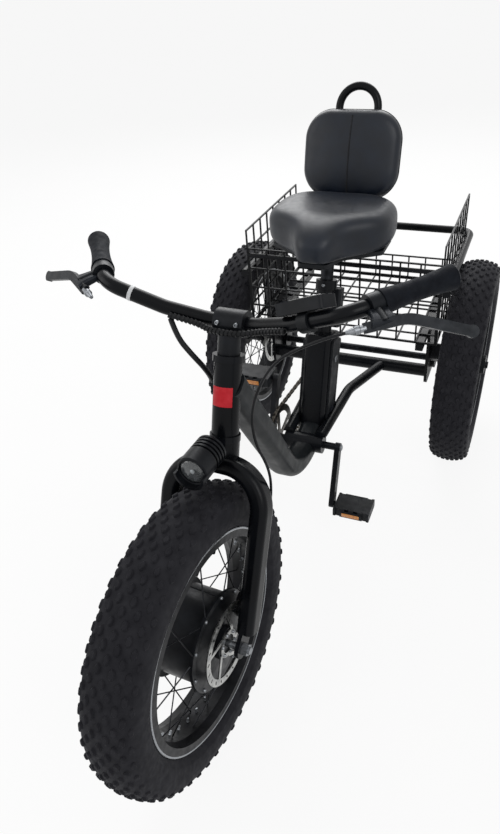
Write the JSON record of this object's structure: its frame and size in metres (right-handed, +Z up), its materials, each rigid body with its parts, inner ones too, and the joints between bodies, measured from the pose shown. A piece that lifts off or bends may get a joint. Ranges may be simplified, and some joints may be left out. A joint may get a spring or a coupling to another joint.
{
  "type": "electric tricycle",
  "caption": "Fat-tyre electric tricycle with a step-through frame, swept bars, hub motor fork, backrest saddle and a wire cargo basket between the rear wheels.",
  "frame": {"origin": "on the ground at the middle of the overall box", "axes": "+Z up, -Y forward, +X to the rider's left"},
  "size_m": [0.8091, 1.6893, 1.03],
  "materials": {
    "black_paint": "gloss black powder coat",
    "graphite_paint": "satin graphite enamel",
    "black_alloy": "black anodised aluminium",
    "rim_alloy": "black anodised rim with a machined lip",
    "steel": "ground stainless steel",
    "spoke_steel": "black coated steel wire",
    "bright_steel": "zinc plated steel",
    "tyre": "moulded carbon black rubber",
    "rubber": "moulded rubber",
    "leather": "black leatherette",
    "plastic": "moulded black plastic",
    "lever_alloy": "dark satin aluminium",
    "chain_steel": "oiled steel",
    "lens": "clear polycarbonate",
    "cable": "black plastic sleeve"
  },
  "bodies": {
    "frame": {"head_tube": "black_paint", "main_tube": "graphite_paint", "bottom_bracket": "black_paint", "seat_mast": "black_paint", "battery_covers": "graphite_paint", "seat_tube": "black_paint", "seat_post": "black_paint", "controller_box": "plastic", "saddle": "leather", "saddle_pan": "plastic", "backrest_pad": "leather", "backrest_hoop": "black_paint", "chain_stays": "black_paint", "rear_beam": "black_paint", "axle_plates": "black_paint", "rear_calipers": "black_alloy", "basket_bearers": "black_paint", "basket_floor": "black_paint", "basket_front": "black_paint", "basket_rear": "black_paint", "basket_left": "black_paint", "basket_right": "black_paint", "basket_rail": "black_paint", "chain": "chain_steel", "control_cables": "cable"},
    "steering": {"fork": "black_paint", "stem": "black_alloy", "handlebar": "black_paint", "grips": "rubber", "brake_levers": "lever_alloy", "display": "plastic", "headlight": "black_alloy", "headlight_lens": "lens", "front_caliper": "black_alloy", "front_axle": "bright_steel", "front_brake_cable": "cable"},
    "front_wheel": {"front_tyre": "tyre", "front_rim": "rim_alloy", "front_spokes": "spoke_steel", "front_rotor": "steel", "front_hub_motor": "black_alloy"},
    "left_wheel": {"left_tyre": "tyre", "left_rim": "rim_alloy", "left_spokes": "spoke_steel", "left_rotor": "steel", "left_hub": "black_alloy"},
    "right_wheel": {"right_tyre": "tyre", "right_rim": "rim_alloy", "right_spokes": "spoke_steel", "right_rotor": "steel", "right_hub": "black_alloy", "rear_axle": "bright_steel", "rear_sprocket": "chain_steel"},
    "cranks": {"cranks": "black_alloy", "chainring": "chain_steel"},
    "left_pedal": {"left_pedal": "plastic"},
    "right_pedal": {"right_pedal": "plastic"}
  },
  "joints": [
    {"name": "steering_turn", "type": "hinge", "parent": "frame", "child": "steering", "pos_m": [0, -0.33798, 0.66956], "axis": [0, 0.3338, 0.9426], "range_deg": [-36, 44], "deforming": ["control_cables"]},
    {"name": "front_wheel_spin", "type": "hinge", "parent": "steering", "child": "front_wheel", "pos_m": [-0.00533, -0.55232, 0.29244], "axis": [0.9976, -0.0658, 0.0233], "continuous": true},
    {"name": "left_wheel_spin", "type": "hinge", "parent": "frame", "child": "left_wheel", "pos_m": [0.33, 0.5525, 0.2925], "axis": [1, 0, 0], "continuous": true},
    {"name": "right_wheel_spin", "type": "hinge", "parent": "frame", "child": "right_wheel", "pos_m": [-0.33, 0.5525, 0.2925], "axis": [1, 0, 0], "continuous": true},
    {"name": "crank_spin", "type": "hinge", "parent": "frame", "child": "cranks", "pos_m": [0, 0.0595, 0.292], "axis": [1, 0, 0], "continuous": true},
    {"name": "left_pedal_spin", "type": "hinge", "parent": "cranks", "child": "left_pedal", "pos_m": [0.1455, 0.00751, 0.14917], "axis": [1, 0, 0], "continuous": true},
    {"name": "right_pedal_spin", "type": "hinge", "parent": "cranks", "child": "right_pedal", "pos_m": [-0.1455, 0.11149, 0.43483], "axis": [1, 0, 0], "continuous": true}
  ]
}
